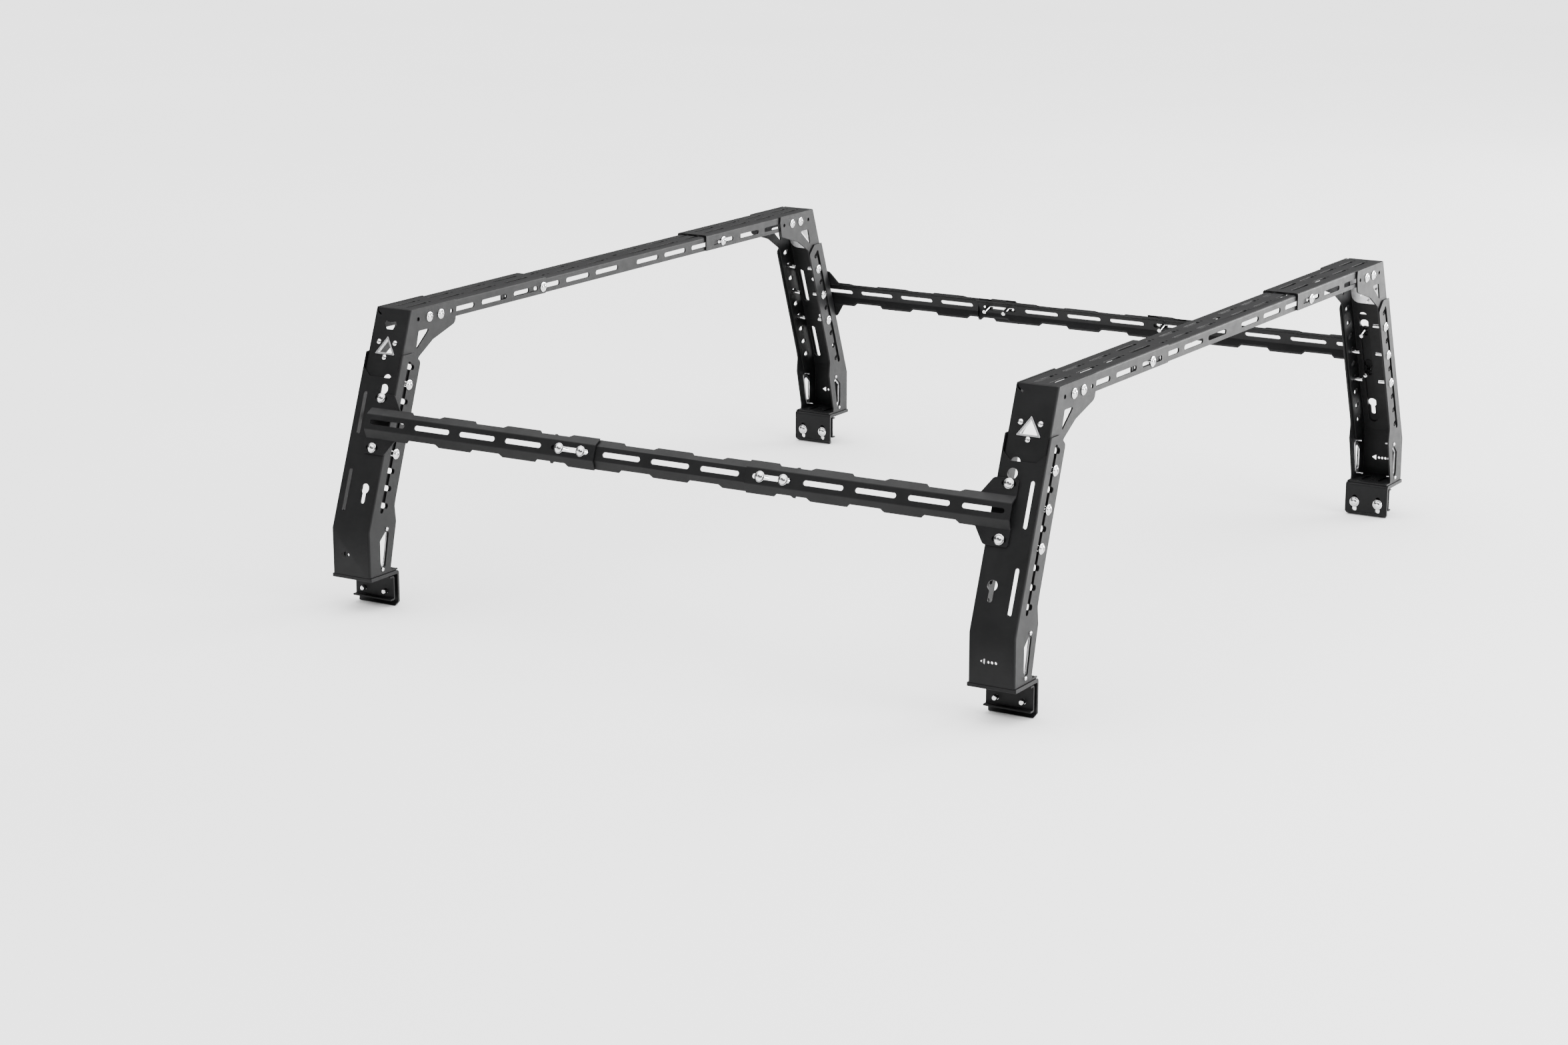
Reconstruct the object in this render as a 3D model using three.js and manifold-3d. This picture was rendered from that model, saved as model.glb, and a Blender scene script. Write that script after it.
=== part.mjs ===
// Adjustable truck-bed ladder rack: four telescoping sheet-steel posts, two telescoping
// crossbars and two telescoping side rails, bolted together and clamped to the bed rails.
// Millimetres. +X points to the tailgate, +Y to the right of the truck, +Z up.
// The origin is the plan centre of the rack at the bottom of its four clamp plates.
import * as THREE from 'three';
import { mergeVertices } from 'three/addons/utils/BufferGeometryUtils.js';
import Module from 'manifold-3d';

const wasm = await Module();
wasm.setup();

// ---------------------------------------------------------------- driving dimensions
const HALF_LENGTH = 615.6; // post centres, fore and aft of the middle
const HALF_WIDTH = 806.4; // outer face of a lower post's web, left and right of the middle
const BED_HEIGHT = 57; // bed rail plane above the bottom of the clamp plates
const TILT = THREE.MathUtils.degToRad(20.2); // lean of the posts, towards the middle
const SIN = Math.sin(TILT);
const COS = Math.cos(TILT);
const SHEET = 3; // sheet steel of posts, bars and rails
const GAP = 0.3; // play between nested or touching sheets

const POST_HALF = 40; // half the outer width of a lower post
const BASE_PLATE = 6.4; // thickness of the base bracket's plate
const KNEE = 87; // height where a lower post starts to lean
const FLANGE_TOP = 375.3; // top of a lower post's flanges
const BAR_TOP = 448.8; // top face of the crossbars
const NOTCH_PITCH = 30.2; // distance between height notches along the post
const NOTCHES = 9;
const NOTCH_TOP = 293.5; // topmost notch, measured along the post from the knee
const BOLT_DEPTH = 33.2; // height bolts, measured in from the lower post's web
const RAIL_BOLTS = [230.9, 144.7]; // rail end bolts, along the post from the knee
const RAIL_BOLT_SIDE = -15; // rail end bolts, from the post's middle towards the rack's
const SHANK = 4; // radius of the main bolts' shanks
const BOLT_HOLE = 5; // radius of the round holes they pass through
const WASHER_RADIUS = 9;
const WASHER = 1.6; // thickness of a washer
const HEAD_RISE = 5.4; // height of a bolt's head with its washer
const STRIP = 2; // thickness of the strips that join the shanks of a group
const STRIP_HALF = 4; // half their width

const HEIGHT_BOLT_NOTCHES = [1, 3, 5]; // notches of a post that carry a bolt, from the top
const RELIEF_SIDE = 22.5; // long slots in a post's web, outwards from its middle
const RELIEF_SPANS = [[31.4, 105.8], [165.6, 239.8]]; // their ends, along the post
const KEYHOLES = [247.4, 160.9, 74.4]; // keyholes of a lower post, along it
const KEYHOLE_RADIUS = 8.6;
const KEYHOLE_DROP = 22; // from the keyhole's centre down to the end of its slot
const MARK_LOW = 37.8; // arrow and bars cut in the web
const MARK_HIGH = 48.2;

const SLEEVE_HALF = POST_HALF - 2 * SHEET - 2 * GAP; // half the outer width of a bar's sleeve
const SLEEVE_END = 268.5; // inner end of a sleeve, from the middle
const SLEEVE_ROOT = 665; // outer end of a sleeve
const BAR_SKIRT = 31; // height of a crossbar's sides
const BAR_SLOT_HEIGHT = 430; // centre line of the slots and bolts in the sides
const MIDDLE_HALF = 400; // half length of a crossbar's middle section
const SPLICE_BOLT = 330; // bolt through sleeve and middle section, from the middle
const ODD_BOLT = 277.5; // the front bar's left one sits at the end of the sleeve
const SIDE_SLOT = 73; // length of the slots in the bars' sides and the rails
const SIDE_SLOT_WIDTH = 8.4;
const TOP_SLOT_SIDE = 12; // slots in a bar's top, from its middle line
const TOP_SLOT_WIDTH = 7;
const TOP_SLOT = 57; // their length
const LONG_TOP_SLOT = 69;

const RAIL_FACE = 14; // rail's outer face, outwards from the post's web
const RAIL_LOW = 175; // lower edge of the rail's face, along the post from the knee
const RAIL_HIGH = 200.5;
const RAIL_FOOT = 2.8; // height of the rail's free edges over the post's web
const RAIL_END = HALF_LENGTH + 1.2;
const RAIL_SPLICE = 145; // inner end of a rail's end section
const RAIL_MIDDLE_HALF = 236;
const RAIL_SPLICE_BOLTS = [172, 215]; // from the middle of the rack
const RAIL_SLOT_PITCH = 94;
const RAIL_MIDDLE_PITCH = 94.4;
const TAB_ROOT = 61; // a rail's foot, inwards from the post's middle, at the rail
const TAB_TIP = 41.5; // and at its tip

const OVERCUT = 1; // a hole's cutter reaches this far past the sheet
const DEEP_CUT = 4; // and one for a web this far

// ---------------------------------------------------------------- frames
// Leg frame: x along the truck, y inwards from the web's outer face, z up from the bed rail.
// It is written for the left rear leg and mirrored for the others.
const axes = (x, y, z, origin) => new THREE.Matrix4().makeBasis(
  new THREE.Vector3(...x), new THREE.Vector3(...y), new THREE.Vector3(...z),
).setPosition(...origin);
const FLAT = axes([1, 0, 0], [0, 1, 0], [0, 0, 1], [0, 0, 0]);
const SIDE = axes([0, 1, 0], [0, 0, 1], [1, 0, 0], [0, 0, 0]);
const SIDE_MIRRORED = axes([0, -1, 0], [0, 0, 1], [-1, 0, 0], [0, 0, 0]);
const UPRIGHT = axes([1, 0, 0], [0, 0, 1], [0, -1, 0], [0, 0, 0]);
const LEANING = axes([1, 0, 0], [0, SIN, COS], [0, -COS, SIN], [0, 0, KNEE]);

// Point of a side plate given along the leaning post and in from its web.
const leaning = (along, depth) => [
  along * SIN + depth * COS,
  KNEE + along * COS - depth * SIN,
];

// ---------------------------------------------------------------- solids
const union = (solids) => solids.reduce((sum, solid) => sum.add(solid));

function solidOf(geometry, matrix) {
  const bare = geometry.clone().applyMatrix4(matrix);
  bare.deleteAttribute('normal');
  bare.deleteAttribute('uv');
  const merged = mergeVertices(bare, 1e-4);
  return new wasm.Manifold(new wasm.Mesh({
    numProp: 3,
    vertProperties: new Float32Array(merged.attributes.position.array),
    triVerts: new Uint32Array(merged.index.array),
  }));
}

// Flat plate with holes: outline and holes are point lists, from is the start of its thickness.
function plate(outline, holes, from, thickness, frame) {
  const shape = new THREE.Shape(outline.map(([x, y]) => new THREE.Vector2(x, y)));
  const geometry = new THREE.ExtrudeGeometry(shape, { depth: thickness, bevelEnabled: false });
  geometry.translate(0, 0, from);
  const solid = solidOf(geometry, frame);
  if (holes.length === 0) {
    return solid;
  }
  const cutters = holes.map(
    (hole) => plate(hole, [], from - OVERCUT, thickness + 2 * OVERCUT, frame),
  );
  return solid.subtract(union(cutters));
}

const rectangle = (x0, y0, x1, y1) => [[x0, y0], [x1, y0], [x1, y1], [x0, y1]];

function arc(x, y, radius, start, end, steps) {
  const points = [];
  for (let i = 0; i <= steps; i += 1) {
    const angle = THREE.MathUtils.degToRad(start + ((end - start) * i) / steps);
    points.push([x + radius * Math.cos(angle), y + radius * Math.sin(angle)]);
  }
  return points;
}

const disc = (x, y, radius, sides = 8) => arc(x, y, radius, 0, 360 - 360 / sides, sides - 1);

// Slot with rounded ends between two x positions, or between two y positions when upright.
function slot(from, to, centre, width, upright = false) {
  const r = width / 2;
  const points = [
    ...arc(to - r, centre, r, -90, 90, 2),
    ...arc(from + r, centre, r, 90, 270, 2),
  ];
  return upright ? points.map(([x, y]) => [y, x]) : points;
}

// Cross-section of bent sheet: a polyline thickened from one offset to another on its left.
function sheetSection(line, near, far) {
  const offset = (distance) => line.map((point, i) => {
    const before = line[Math.max(i - 1, 0)];
    const after = line[Math.min(i + 1, line.length - 1)];
    const into = new THREE.Vector2(point[0] - before[0], point[1] - before[1]).normalize();
    const out = new THREE.Vector2(after[0] - point[0], after[1] - point[1]).normalize();
    const mean = into.clone().add(out).normalize();
    const along = i === 0 || i === line.length - 1 ? mean : into;
    const reach = distance / mean.dot(along);
    return [point[0] - mean.y * reach, point[1] + mean.x * reach];
  });
  return [...offset(near), ...offset(far).reverse()];
}

function mesh(name, solid, colour, roughness, metalness, flipX = 1, flipY = 1) {
  const { vertProperties, triVerts } = solid.getMesh();
  const positions = Float32Array.from(vertProperties);
  for (let i = 0; i < positions.length; i += 3) {
    positions[i] *= flipX;
    positions[i + 1] *= flipY;
  }
  const index = Array.from(triVerts);
  if (flipX * flipY < 0) {
    for (let i = 0; i < index.length; i += 3) {
      [index[i + 1], index[i + 2]] = [index[i + 2], index[i + 1]];
    }
  }
  const geometry = new THREE.BufferGeometry();
  geometry.setAttribute('position', new THREE.BufferAttribute(positions, 3));
  geometry.setIndex(index);
  geometry.computeVertexNormals();
  const material = new THREE.MeshStandardMaterial({ color: colour, roughness, metalness });
  const made = new THREE.Mesh(geometry, material);
  made.name = name;
  return made;
}

const coated = (name, solid, ...flips) => mesh(name, solid, 0x2b2b2c, 0.62, 0.15, ...flips);
const steel = (name, solid, ...flips) => mesh(name, solid, 0xcfd0d2, 0.2, 1.0, ...flips);
const plated = (name, solid, ...flips) => mesh(name, solid, 0xb9babb, 0.4, 0.9, ...flips);

// Button-head bolt with its washer: at the origin, head along +z, shank along -z.
function bolt(length, washerRadius = WASHER_RADIUS) {
  const top = GAP + HEAD_RISE;
  const profile = [
    [0, -length], [SHANK, -length], [SHANK, GAP], [washerRadius, GAP],
    [washerRadius, GAP + WASHER], [washerRadius * 0.6, top], [0, top],
  ].map(([x, y]) => new THREE.Vector2(x, y));
  const lathe = new THREE.LatheGeometry(profile, 6);
  return solidOf(lathe, new THREE.Matrix4().makeRotationX(Math.PI / 2));
}

const at = (frame, x, y, z) => frame.clone().multiply(
  new THREE.Matrix4().makeTranslation(x, y, z),
).elements;

// Group of bolts held by a strip across the ends of their shanks.
const boltGroup = (places, length, strip, washerRadius) => union([
  ...places.map((place) => bolt(length, washerRadius).transform(place)),
  strip,
]);

// ---------------------------------------------------------------- lower post
const RACK_WINDOW = [[46, 80], [54.5, 77.5], [42.5, 19.5], [33, 19.5], [30.5, 27], [30.5, 66]];

function ladderSlot() {
  const slotIn = 20.4;
  const slotOut = 28.4;
  const slotLow = 37.7;
  const slotHigh = 302;
  const corner = 4;
  const toothOut = 38.2;
  const shoulder = toothOut - 2.4;
  const half = 4.8;
  const points = [
    [slotLow + corner, slotIn], [slotHigh - corner, slotIn], [slotHigh, slotIn + corner],
  ];
  for (let i = 0; i < NOTCHES; i += 1) {
    const notch = NOTCH_TOP - i * NOTCH_PITCH;
    points.push([notch + half, slotOut], [notch + half, shoulder], [notch + 2, toothOut]);
    points.push([notch - 2, toothOut], [notch - half, shoulder], [notch - half, slotOut]);
  }
  points.push([slotLow, slotIn + corner]);
  return points.map(([along, depth]) => leaning(along, depth));
}

// The arrow in the web points to the front of the truck; the bars beside it count the legs.
function lowerPost(marks, end) {
  const bottom = BASE_PLATE + GAP;
  const topOfWeb = 280;
  const flange = [
    [0, bottom], [0, KNEE], [(FLANGE_TOP - KNEE) * Math.tan(TILT), FLANGE_TOP], [137.2, FLANGE_TOP],
    [156.6, 357], [77.7, 135], [73.2, 120], [76.2, 92], [58, 16], [60, bottom + SHEET],
    [74, bottom + SHEET], [74, bottom],
  ];
  const holes = [ladderSlot(), RACK_WINDOW];
  const web = plate([
    [0, bottom], [SHEET, bottom], [SHEET, KNEE - SHEET * Math.tan(TILT / 2)],
    leaning(topOfWeb, SHEET), leaning(topOfWeb, 0), [0, KNEE],
  ], [], -POST_HALF, 2 * POST_HALF, SIDE);
  const floorPlate = plate(
    rectangle(-POST_HALF, 0, POST_HALF, 74),
    [slot(20, 60, -17, 9, true), slot(20, 60, 17, 9, true)],
    bottom, SHEET, FLAT,
  );
  const body = union([
    web,
    floorPlate,
    plate(flange, holes, -POST_HALF, SHEET, SIDE),
    plate(flange, holes, POST_HALF - SHEET, SHEET, SIDE),
  ]);
  const cut = (outline, frame) => plate(
    outline, [], -SHEET - DEEP_CUT, SHEET + 2 * DEEP_CUT, frame,
  );
  const tip = -20.5 * end;
  const tail = -11.5 * end;
  const cutters = [
    cut([[-22, 266.5], [22, 266.5], [35.5, 281], [-35.5, 281]], LEANING),
    cut([[tip, (MARK_LOW + MARK_HIGH) / 2], [tail, MARK_LOW], [tail, MARK_HIGH]], UPRIGHT),
  ];
  for (const [low, high] of RELIEF_SPANS) {
    cutters.push(cut(slot(low, high, RELIEF_SIDE, 7.4, true), LEANING));
  }
  for (const top of KEYHOLES) {
    cutters.push(cut(disc(RAIL_BOLT_SIDE, top, KEYHOLE_RADIUS, 10), LEANING));
    cutters.push(cut(slot(top - KEYHOLE_DROP, top, RAIL_BOLT_SIDE, 8.6, true), LEANING));
  }
  for (let i = 0; i < marks; i += 1) {
    const middle = (-5.3 + i * 5) * end;
    cutters.push(cut(rectangle(middle - 1.2, MARK_LOW, middle + 1.2, MARK_HIGH), UPRIGHT));
  }
  return body.subtract(union(cutters));
}

// ---------------------------------------------------------------- upper post
const UPPER_HALF = POST_HALF - SHEET - GAP;
const UPPER_DEPTH = SHEET + GAP; // outer face of the upper post's web, in from the lower post's
const TRIANGLE = [[-13.5, 309], [13.5, 309], [0, 332.5]];
const CORNER_BOLTS = [586, 618];
const CORNER_HOLES = [554.5, 649];

function upperPost(hexagonHole) {
  const inward = (fromMiddle) => HALF_WIDTH - fromMiddle;
  const outerAt = (height) => (height - KNEE) * Math.tan(TILT) + UPPER_DEPTH / COS;
  const flange = [
    leaning(33, UPPER_DEPTH), [outerAt(BAR_TOP), BAR_TOP], [inward(542), BAR_TOP],
    [inward(539.5), BAR_TOP - 9], [inward(545), 408.5], [inward(610), 389], [inward(652), 364],
    leaning(302, 49.5), leaning(33, 49.5),
  ];
  const bracePoints = [[inward(618), 409.5], [inward(649), 409.5], [inward(658), 378]];
  const bolts = [...CORNER_BOLTS.map((y) => disc(inward(y), BAR_SLOT_HEIGHT, BOLT_HOLE, 6)),
    ...CORNER_HOLES.map((y) => disc(inward(y), BAR_SLOT_HEIGHT, 4.5, 6))];
  const heightSlot = slot(46, 300, BOLT_DEPTH, 10).map(([along, depth]) => leaning(along, depth));
  const holes = [bracePoints, heightSlot, ...bolts];
  const web = plate([
    leaning(22, UPPER_DEPTH), leaning(22, UPPER_DEPTH + SHEET),
    [outerAt(BAR_TOP) + SHEET / COS, BAR_TOP], [outerAt(BAR_TOP), BAR_TOP],
  ], [], -UPPER_HALF, 2 * UPPER_HALF, SIDE);
  const body = union([
    web,
    plate(flange, holes, -UPPER_HALF, SHEET, SIDE),
    plate(flange, holes, UPPER_HALF - SHEET, SHEET, SIDE),
  ]);
  const cut = (outline) => plate(
    outline, [], -UPPER_DEPTH - SHEET - DEEP_CUT, SHEET + 2 * DEEP_CUT, LEANING,
  );
  const cutters = [
    cut(slot(34, 273.6, RAIL_BOLT_SIDE, 16.8, true)),
    cut(slot(26, 111, 21.5, 15, true)),
    cut(slot(160, 245, 21.5, 15, true)),
    cut([[-17.5, 307], [17.5, 307], [0, 336.8]]),
  ];
  if (hexagonHole) {
    cutters.push(cut([[-9, 350.5], [6, 350.5], [11, 360], [8, 364.5], [-13, 364.5], [-15.5, 357.5]]));
  }
  return body.subtract(union(cutters));
}

// Bright trim behind the web: a plate with a triangular rim standing in the web's window.
function triangleTrim() {
  const back = UPPER_DEPTH + SHEET + GAP;
  const outline = [
    [33, 296 + 18], ...arc(15, 296 + 18, 18, 0, -90, 3).slice(1),
    ...arc(-15, 296 + 18, 18, -90, -180, 3), [-33, 346], [33, 346],
  ];
  const sheet = plate(outline, [TRIANGLE], -back - 2, 2, LEANING);
  const rim = plate([[-17, 307.4], [17, 307.4], [0, 336.4]], [TRIANGLE], -back - 1, 8, LEANING);
  return sheet.add(rim);
}

// ---------------------------------------------------------------- foot
const PLATE_HALF = 42.2;
const CLAMP_BOLT_SIDE = 23.3;
const CLAMP_BOLT_HEIGHT = -31;
const HANG_IN = 77; // inner face of the hanging plate, in from the post's web
const HANG_PLATE = 5;
const CHANNEL_IN = 65; // inner face of the clamp channel
const CHANNEL_TOP = -2;
const CHANNEL_BOTTOM = -45;
const CHANNEL_FLANGE = 12; // how far its flanges reach back

function baseBracket() {
  const section = [
    [1, 0], [HANG_IN - HANG_PLATE, 0], [HANG_IN - HANG_PLATE, -48], [HANG_IN - 11, -BED_HEIGHT],
    [HANG_IN - 6, -BED_HEIGHT], [HANG_IN, -50], [HANG_IN, 3], [HANG_IN - 3, BASE_PLATE],
    [1, BASE_PLATE],
  ];
  const bent = plate(section, [], -PLATE_HALF, 2 * PLATE_HALF, SIDE);
  const slots = [-1, 1].map((s) => plate(
    slot(-49, -17, s * CLAMP_BOLT_SIDE, 9.6, true), [], -HANG_IN - 2, HANG_PLATE + 4, UPRIGHT,
  ));
  return bent.subtract(union(slots));
}

function clampChannel() {
  const reach = CHANNEL_IN - CHANNEL_FLANGE;
  const back = CHANNEL_IN - SHEET;
  const section = [
    [CHANNEL_IN, CHANNEL_BOTTOM], [CHANNEL_IN, CHANNEL_TOP], [reach, CHANNEL_TOP],
    [reach, CHANNEL_TOP - SHEET], [back, CHANNEL_TOP - SHEET],
    [back, CHANNEL_BOTTOM + SHEET], [reach, CHANNEL_BOTTOM + SHEET], [reach, CHANNEL_BOTTOM],
  ];
  const bent = plate(section, [], -PLATE_HALF + 1, 2 * PLATE_HALF - 2, SIDE);
  const holes = [-1, 1].map((s) => plate(
    disc(s * CLAMP_BOLT_SIDE, CLAMP_BOLT_HEIGHT, BOLT_HOLE, 6), [], -CHANNEL_IN - 2, 8, UPRIGHT,
  ));
  return bent.subtract(union(holes));
}

// ---------------------------------------------------------------- bolts of a leg
const INBOARD = axes([-1, 0, 0], [0, 0, 1], [0, 1, 0], [0, 0, 0]);

function clampBolts() {
  const low = CLAMP_BOLT_HEIGHT - STRIP_HALF;
  const high = CLAMP_BOLT_HEIGHT + STRIP_HALF;
  const strip = plate(
    rectangle(-CLAMP_BOLT_SIDE, low, CLAMP_BOLT_SIDE, high),
    [], CHANNEL_IN - SHEET - GAP - STRIP, STRIP, INBOARD,
  );
  return boltGroup(
    [-1, 1].map((s) => at(INBOARD, s * CLAMP_BOLT_SIDE, CLAMP_BOLT_HEIGHT, HANG_IN)),
    HANG_IN - CHANNEL_IN + SHEET + GAP + 1, strip, 10,
  );
}

// Bolts in some notches of one flange; face is +1 for the outer flange, -1 for the other.
function heightBolts(face, notches = HEIGHT_BOLT_NOTCHES) {
  const lane = axes([0, SIN, COS], [0, -face * COS, face * SIN], [face, 0, 0], [0, 0, KNEE]);
  const places = notches.map((i) => NOTCH_TOP - i * NOTCH_PITCH);
  const lowest = Math.min(...places) - STRIP_HALF;
  const highest = Math.max(...places) + STRIP_HALF;
  const depth = -face * BOLT_DEPTH;
  const inner = POST_HALF - 2 * SHEET - 2 * GAP;
  const strip = plate(
    rectangle(lowest, depth - STRIP_HALF, highest, depth + STRIP_HALF),
    [], inner - STRIP, STRIP, lane,
  );
  return boltGroup(places.map((s) => at(lane, s, depth, POST_HALF)), POST_HALF - inner + 1, strip);
}

function railEndBolts() {
  const under = UPPER_DEPTH + SHEET + GAP;
  const strip = plate(
    rectangle(
      RAIL_BOLT_SIDE - STRIP_HALF, RAIL_BOLTS[1] - STRIP_HALF,
      RAIL_BOLT_SIDE + STRIP_HALF, RAIL_BOLTS[0] + STRIP_HALF,
    ),
    [], -under - STRIP, STRIP, LEANING,
  );
  return boltGroup(
    RAIL_BOLTS.map((s) => at(LEANING, RAIL_BOLT_SIDE, s, GAP + SHEET)),
    under + GAP + SHEET + 1, strip,
  );
}

const TIE_HALF = 3; // half the thickness of the ties that join bolts across a bar

// Bolts through both gusset flanges into the crossbar's sleeve.
function cornerBolts() {
  const inner = SLEEVE_HALF - SHEET - GAP;
  const places = [];
  for (const y of CORNER_BOLTS) {
    places.push(at(SIDE, HALF_WIDTH - y, BAR_SLOT_HEIGHT, UPPER_HALF));
    places.push(at(SIDE_MIRRORED, -(HALF_WIDTH - y), BAR_SLOT_HEIGHT, UPPER_HALF));
  }
  const first = HALF_WIDTH - CORNER_BOLTS[1];
  const last = HALF_WIDTH - CORNER_BOLTS[0];
  const across = plate(
    rectangle(
      first - STRIP_HALF, BAR_SLOT_HEIGHT - TIE_HALF, last + STRIP_HALF, BAR_SLOT_HEIGHT + TIE_HALF,
    ),
    [], -inner, 2 * inner, SIDE,
  );
  return boltGroup(places, UPPER_HALF - inner + 1, across);
}

// ---------------------------------------------------------------- crossbars
// Bar frame: x from the bar's middle line, y across the truck, z up from the bed rail.
function channelBar(half, top, from, to, sideHoles, topHoles) {
  const side = rectangle(from, BAR_TOP - BAR_SKIRT, to, top);
  return union([
    plate(rectangle(-half, from, half, to), topHoles, top - SHEET, SHEET, FLAT),
    plate(side, sideHoles, -half, SHEET, SIDE),
    plate(side, sideHoles, half - SHEET, SHEET, SIDE),
  ]);
}

const sideSlot = (centre, extra = 0) => slot(
  centre - SIDE_SLOT / 2 - extra, centre + SIDE_SLOT / 2, BAR_SLOT_HEIGHT, SIDE_SLOT_WIDTH,
);
const topSlots = (starts, length) => starts.flatMap((start) => [-1, 1].map(
  (s) => slot(start, start + length, s * TOP_SLOT_SIDE, TOP_SLOT_WIDTH, true),
));

function sleeve(side, openEnd) {
  const centres = [329, 425, 521].map((centre) => side * centre);
  const corner = CORNER_BOLTS.map((y) => disc(side * y, BAR_SLOT_HEIGHT, BOLT_HOLE, 6));
  const holes = [...centres.map((centre) => sideSlot(centre)), ...corner];
  if (openEnd) {
    holes.push(disc(side * ODD_BOLT, BAR_SLOT_HEIGHT, BOLT_HOLE, 6));
  }
  const starts = side < 0 ? [-652, -557.5, -463] : [390, 484, 577.5];
  const longSlot = side < 0 ? [-367] : [294];
  const tops = [...topSlots(starts, TOP_SLOT), ...topSlots(longSlot, LONG_TOP_SLOT)];
  const ends = side < 0 ? [-SLEEVE_ROOT, -SLEEVE_END] : [SLEEVE_END, SLEEVE_ROOT];
  return channelBar(SLEEVE_HALF, BAR_TOP, ...ends, holes, tops);
}

function middleBar(longInnerSlot) {
  const centres = [68, 163, 258, 352.5];
  const holes = centres.flatMap((centre) => [
    sideSlot(centre),
    sideSlot(-centre, longInnerSlot && centre === 258 ? 7 : 0),
  ]);
  const starts = [-310, -215.5, -121, 32, 128, 223];
  return channelBar(
    SLEEVE_HALF - SHEET - GAP, BAR_TOP - SHEET - GAP, -MIDDLE_HALF, MIDDLE_HALF,
    holes, topSlots(starts, TOP_SLOT),
  );
}

// One bolt in each side of the bar, joined across the inside.
function spliceBolts(y) {
  const inner = SLEEVE_HALF - 2 * SHEET - 2 * GAP;
  const tie = plate(
    rectangle(
      y - TIE_HALF, BAR_SLOT_HEIGHT - TIE_HALF, y + TIE_HALF, BAR_SLOT_HEIGHT + TIE_HALF,
    ),
    [], -inner, 2 * inner, SIDE,
  );
  return boltGroup([
    at(SIDE, y, BAR_SLOT_HEIGHT, SLEEVE_HALF),
    at(SIDE_MIRRORED, -y, BAR_SLOT_HEIGHT, SLEEVE_HALF),
  ], SLEEVE_HALF - inner + 2, tie);
}

// ---------------------------------------------------------------- side rails
// Rail frame: the leg frame, with x measured from the middle of the rack.
const HAT_LINE = [
  [162.6, RAIL_FOOT], [RAIL_LOW, RAIL_FACE], [RAIL_HIGH, RAIL_FACE], [213, RAIL_FOOT],
];
const RAIL_LANE = axes([0, SIN, COS], [0, -COS, SIN], [1, 0, 0], [0, 0, KNEE]);
const RAIL_SLOT_LINE = (RAIL_LOW + RAIL_HIGH) / 2; // centre line of the rail's slots

function hatRail(from, to, nested, slotCentres) {
  const near = nested ? -SHEET - GAP : 0;
  const bent = plate(sheetSection(HAT_LINE, near, near - SHEET), [], from, to - from, RAIL_LANE);
  const half = SIDE_SLOT / 2;
  const slots = slotCentres.map((centre) => plate(
    slot(centre - half, centre + half, RAIL_SLOT_LINE, SIDE_SLOT_WIDTH), [],
    RAIL_FACE + near - SHEET - 2 * OVERCUT, SHEET + 4 * OVERCUT, LEANING,
  ));
  return bent.subtract(union(slots));
}

function railEnd(end) {
  const x = (u) => end * (HALF_LENGTH + u);
  const first = 570; // centre of the slot next to the post
  const centres = [0, 1, 2, 3, 4].map((i) => end * (first - i * RAIL_SLOT_PITCH));
  const span = [end * RAIL_END, end * RAIL_SPLICE].sort((a, b) => a - b);
  const hat = hatRail(...span, false, centres);
  const wing = (edge, tip) => plate([
    [end * RAIL_END, edge], [end * RAIL_END, tip], [x(-TAB_TIP), tip],
    [x(-TAB_ROOT), edge + (tip - edge) * 0.15], [x(-TAB_ROOT), edge],
  ], [], GAP, SHEET, LEANING);
  const boltSlots = RAIL_BOLTS.map((s) => {
    const ends = [x(RAIL_BOLT_SIDE - 12.5), x(RAIL_BOLT_SIDE + 12.5)].sort((a, b) => a - b);
    return plate(slot(...ends, s, 9), [], -2, SHEET + 6, LEANING);
  });
  return union([hat, wing(211.5, 239), wing(164, 134)]).subtract(union(boltSlots));
}

function railMiddle() {
  const centres = [-2, -1, 0, 1, 2].map((i) => i * RAIL_MIDDLE_PITCH);
  return hatRail(-RAIL_MIDDLE_HALF, RAIL_MIDDLE_HALF, true, centres);
}

function railSpliceBolts(end) {
  const places = RAIL_SPLICE_BOLTS.map((x) => end * x);
  const low = RAIL_FACE - 2 * SHEET - 2 * GAP;
  const strip = plate(
    rectangle(
      Math.min(...places), RAIL_SLOT_LINE - TIE_HALF,
      Math.max(...places), RAIL_SLOT_LINE + TIE_HALF,
    ),
    [], low - STRIP, STRIP, LEANING,
  );
  return boltGroup(
    places.map((x) => at(LEANING, x, RAIL_SLOT_LINE, RAIL_FACE)), RAIL_FACE - low + 1, strip,
  );
}

// ---------------------------------------------------------------- assembly
const rack = new THREE.Group();
rack.position.z = BED_HEIGHT;

const ENDS = { f: -1, r: 1 };
const SIDES = { l: -1, r: 1 };
const MARKS = { lf: 1, rf: 2, lr: 3, rr: 4 };
const OPEN_NOTCH = { rr: 1 }; // a notch left without its bolt, on the post's inner flange

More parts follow.
